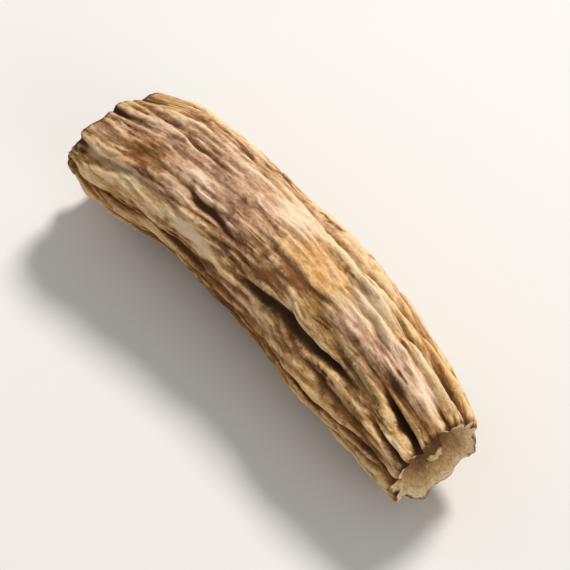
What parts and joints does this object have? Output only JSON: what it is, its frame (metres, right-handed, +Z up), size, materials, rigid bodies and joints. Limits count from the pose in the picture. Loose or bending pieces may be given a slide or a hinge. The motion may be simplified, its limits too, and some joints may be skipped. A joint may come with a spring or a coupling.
{
  "type": "dried dandelion root piece",
  "caption": "Piece of dried dandelion root, cut across: a gently bent length of ribbed bark with hollowed cut ends and a small woody core.",
  "frame": {"origin": "middle of the box that holds the root, on the surface it lies on", "axes": "+X along the root from its wide cut end to its narrow cut end, +Y towards the outside of its bend, +Z up"},
  "size_m": [0.016, 0.0052, 0.0043],
  "materials": {
    "root_bark": "dry, dull bark, grey-brown on its crests and dark umber in its furrows"
  },
  "bodies": {
    "root": {"dandelion_root": "root_bark"}
  },
  "joints": []
}
